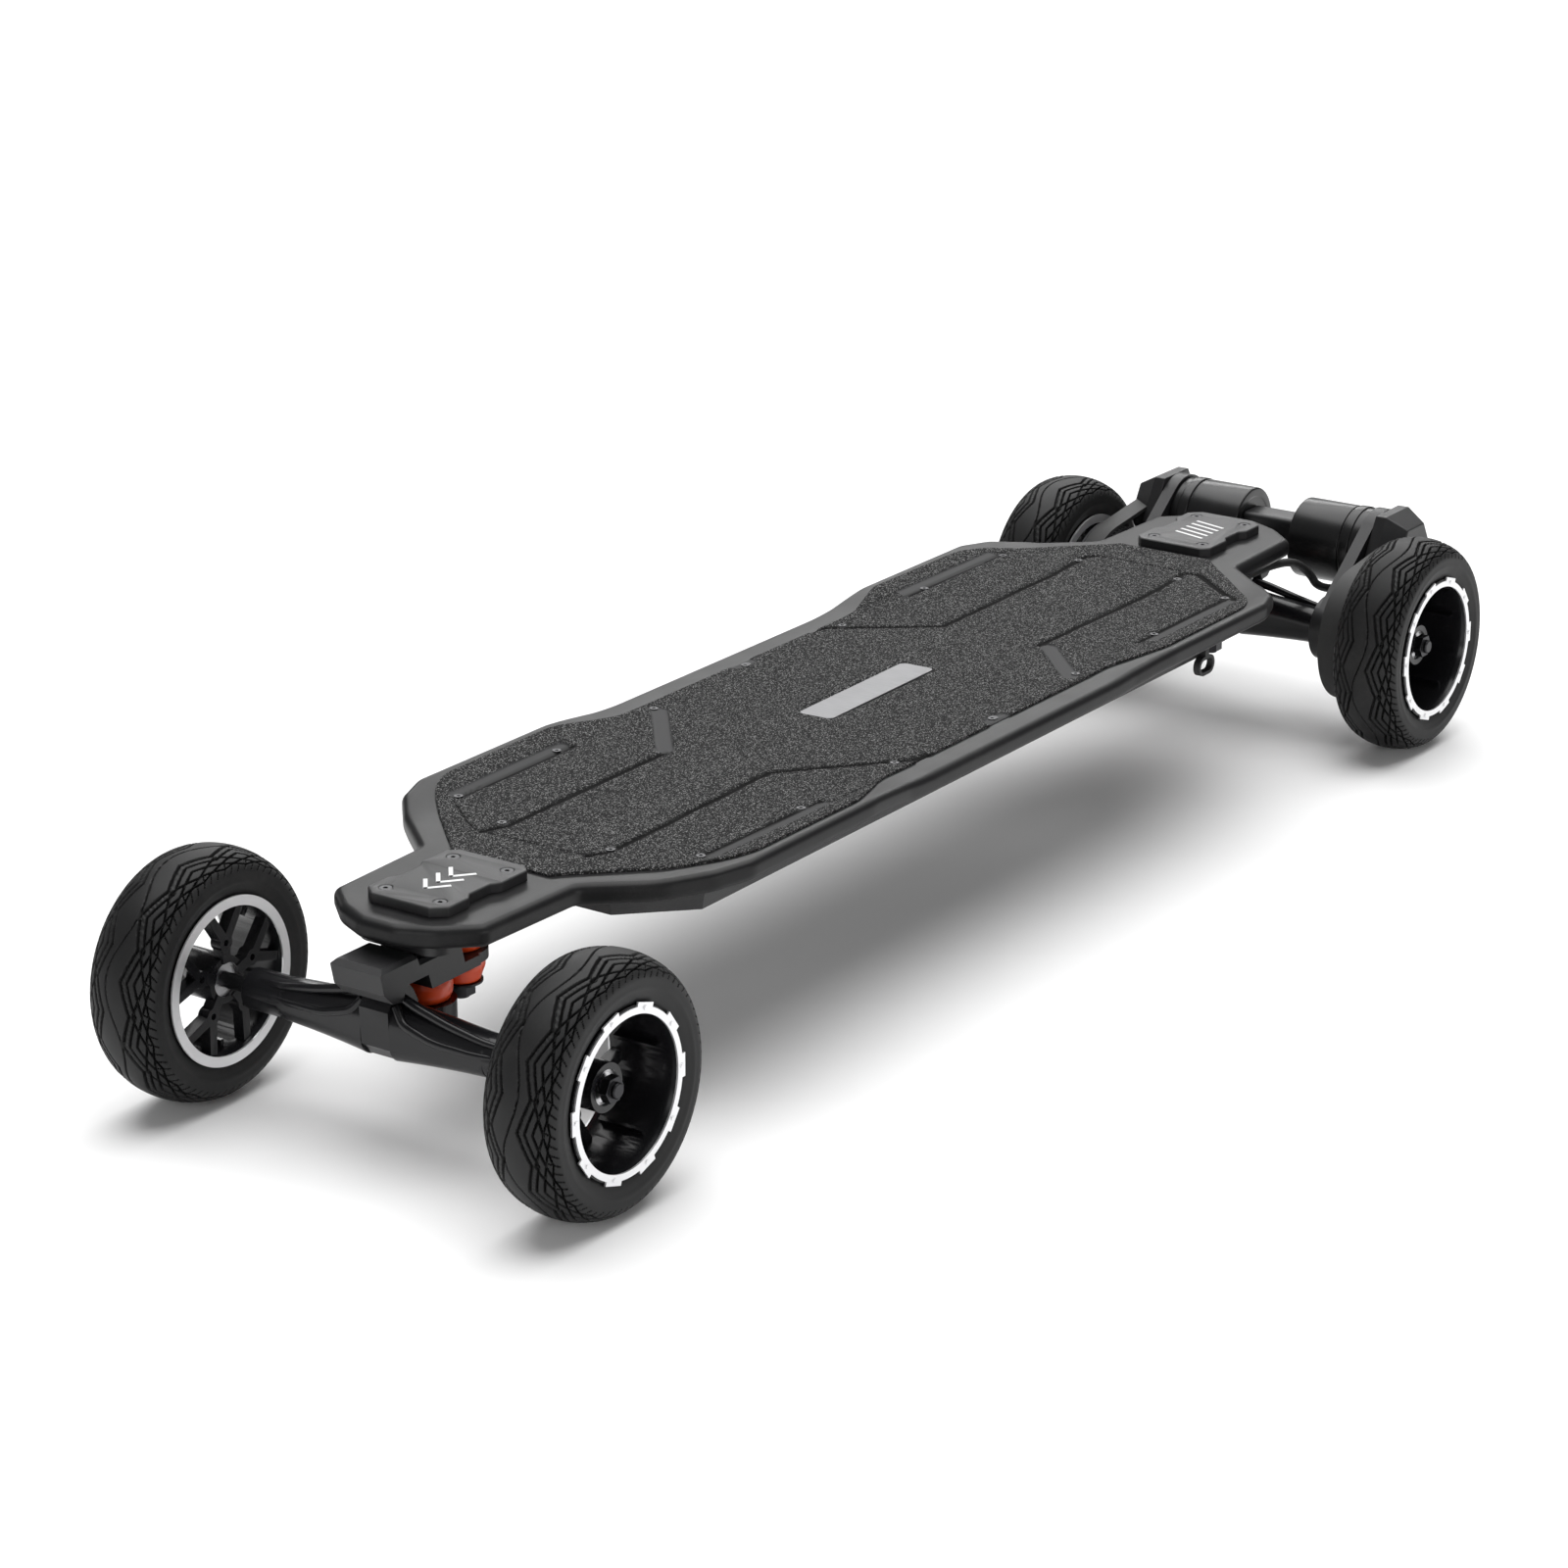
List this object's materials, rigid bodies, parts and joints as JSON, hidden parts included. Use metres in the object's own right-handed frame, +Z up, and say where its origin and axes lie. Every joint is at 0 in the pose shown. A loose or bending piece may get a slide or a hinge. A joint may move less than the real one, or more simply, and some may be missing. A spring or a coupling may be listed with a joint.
{
  "type": "electric skateboard",
  "caption": "Long electric skateboard with double-kingpin trucks, wide tyre wheels and a belt drive on the rear axle.",
  "frame": {"origin": "on the ground under the middle of the whole board's length, on its centre plane", "axes": "+X towards the nose, +Y towards the rider's left, +Z up"},
  "size_m": [1.2072, 0.3524, 0.165],
  "materials": {
    "tyre_rubber": "matt moulded tread with smooth blocks",
    "bright_ring": "bright machined",
    "gloss_casting": "gloss black",
    "satin_casting": "satin black",
    "bearing_steel": "bright",
    "bushing_urethane": "satin red-orange",
    "dark_fasteners": "blackened",
    "deck_composite": "satin black with a faint grain",
    "grip_rubber": "charcoal grit",
    "badge_metal": "brushed",
    "plate_plastic": "satin black",
    "enclosure_plastic": "textured black",
    "cell_sleeve": "shrink sleeve",
    "circuit_board": "solder resist",
    "heat_sink": "anodised grey",
    "moulded_plastic": "moulded black",
    "soft_rubber": "matt",
    "motor_black": "satin black anodised",
    "winding_copper": "enamelled copper",
    "rotor_steel": "plain",
    "pulley_metal": "dark anodised",
    "belt_rubber": "matt",
    "cable_sleeve": "braided sleeve"
  },
  "bodies": {
    "deck": {"battery_board": "circuit_board", "battery_cells": "cell_sleeve", "cable_glands": "moulded_plastic", "centre_badge": "badge_metal", "charge_port": "moulded_plastic", "deck_board": "deck_composite", "enclosure": "enclosure_plastic", "flat_head_screws": "dark_fasteners", "front_baseplate": "satin_casting", "front_upper_bushings": "bushing_urethane", "front_upper_kingpin": "dark_fasteners", "grip_mat": "grip_rubber", "motor_controller": "heat_sink", "nose_plate": "plate_plastic", "rear_baseplate": "satin_casting", "rear_upper_bushings": "bushing_urethane", "rear_upper_kingpin": "dark_fasteners", "tail_plate": "plate_plastic", "truck_bolts": "dark_fasteners"},
    "front_arm": {"front_arm": "satin_casting", "front_lower_bushings": "bushing_urethane", "front_lower_kingpin": "dark_fasteners"},
    "front_hanger": {"front_axle": "dark_fasteners", "front_hanger": "gloss_casting"},
    "rear_arm": {"rear_arm": "satin_casting", "rear_lower_bushings": "bushing_urethane", "rear_lower_kingpin": "dark_fasteners"},
    "rear_hanger": {"belt_covers": "moulded_plastic", "drive_belts": "belt_rubber", "motor_bridge": "motor_black", "motor_cables": "cable_sleeve", "motor_housings": "motor_black", "motor_mounts": "motor_black", "motor_stators": "winding_copper", "rear_axle": "dark_fasteners", "rear_hanger": "gloss_casting"},
    "front_left_wheel": {"front_left_bearings": "bearing_steel", "front_left_hub": "gloss_casting", "front_left_trim_rings": "bright_ring", "front_left_tyre": "tyre_rubber"},
    "front_right_wheel": {"front_right_bearings": "bearing_steel", "front_right_hub": "gloss_casting", "front_right_trim_rings": "bright_ring", "front_right_tyre": "tyre_rubber"},
    "rear_left_wheel": {"left_wheel_pulley": "pulley_metal", "rear_left_bearings": "bearing_steel", "rear_left_hub": "gloss_casting", "rear_left_trim_rings": "bright_ring", "rear_left_tyre": "tyre_rubber"},
    "rear_right_wheel": {"rear_right_bearings": "bearing_steel", "rear_right_hub": "gloss_casting", "rear_right_trim_rings": "bright_ring", "rear_right_tyre": "tyre_rubber", "right_wheel_pulley": "pulley_metal"},
    "left_rotor_body": {"left_motor_pulley": "pulley_metal", "left_rotor": "rotor_steel"},
    "right_rotor_body": {"right_motor_pulley": "pulley_metal", "right_rotor": "rotor_steel"},
    "power_button_body": {"power_button": "moulded_plastic"},
    "port_plug_body": {"port_plug": "soft_rubber"}
  },
  "joints": [
    {"name": "front_arm_steer", "type": "hinge", "parent": "deck", "child": "front_arm", "pos_m": [0.51259, 0, 0.1225], "axis": [0.9602, 0, 0.2793], "range_deg": [-6, 6], "stiffness_Nm_per_rad": 120, "deforming": ["front_upper_bushings"]},
    {"name": "front_hanger_steer", "type": "hinge", "parent": "front_arm", "child": "front_hanger", "pos_m": [0.53159, 0, 0.11], "axis": [0.8744, 0, 0.4853], "range_deg": [-7, 7], "stiffness_Nm_per_rad": 120, "deforming": ["front_lower_bushings"]},
    {"name": "rear_arm_steer", "type": "hinge", "parent": "deck", "child": "rear_arm", "pos_m": [-0.47541, 0, 0.1225], "axis": [-0.9602, 0, 0.2793], "range_deg": [-6, 6], "stiffness_Nm_per_rad": 120, "deforming": ["rear_upper_bushings"]},
    {"name": "rear_hanger_steer", "type": "hinge", "parent": "rear_arm", "child": "rear_hanger", "pos_m": [-0.49441, 0, 0.11], "axis": [-0.8744, 0, 0.4853], "range_deg": [-7, 7], "stiffness_Nm_per_rad": 120, "deforming": ["rear_lower_bushings", "motor_cables"]},
    {"name": "front_left_spin", "type": "hinge", "parent": "front_hanger", "child": "front_left_wheel", "pos_m": [0.52359, 0.15, 0.08], "axis": [0, 1, 0], "continuous": true},
    {"name": "front_right_spin", "type": "hinge", "parent": "front_hanger", "child": "front_right_wheel", "pos_m": [0.52359, -0.15, 0.08], "axis": [0, 1, 0], "continuous": true},
    {"name": "rear_left_spin", "type": "hinge", "parent": "rear_hanger", "child": "rear_left_wheel", "pos_m": [-0.48641, 0.15, 0.08], "axis": [0, 1, 0], "continuous": true},
    {"name": "rear_right_spin", "type": "hinge", "parent": "rear_hanger", "child": "rear_right_wheel", "pos_m": [-0.48641, -0.15, 0.08], "axis": [0, 1, 0], "continuous": true},
    {"name": "left_rotor_spin", "type": "hinge", "parent": "rear_hanger", "child": "left_rotor_body", "pos_m": [-0.55741, 0.1, 0.125], "axis": [0, 1, 0], "continuous": true},
    {"name": "right_rotor_spin", "type": "hinge", "parent": "rear_hanger", "child": "right_rotor_body", "pos_m": [-0.55741, -0.1, 0.125], "axis": [0, 1, 0], "continuous": true},
    {"name": "power_button_press", "type": "slide", "parent": "deck", "child": "power_button_body", "axis": [0, -1, 0], "range_m": [0, 0.0015], "stiffness_N_per_m": 400},
    {"name": "port_plug_pull", "type": "slide", "parent": "deck", "child": "port_plug_body", "axis": [0, 1, 0], "range_m": [0, 0.014]}
  ],
  "couplings": [
    {"joint": "left_rotor_spin", "follows": "rear_left_spin", "ratio": 4},
    {"joint": "right_rotor_spin", "follows": "rear_right_spin", "ratio": 4}
  ]
}
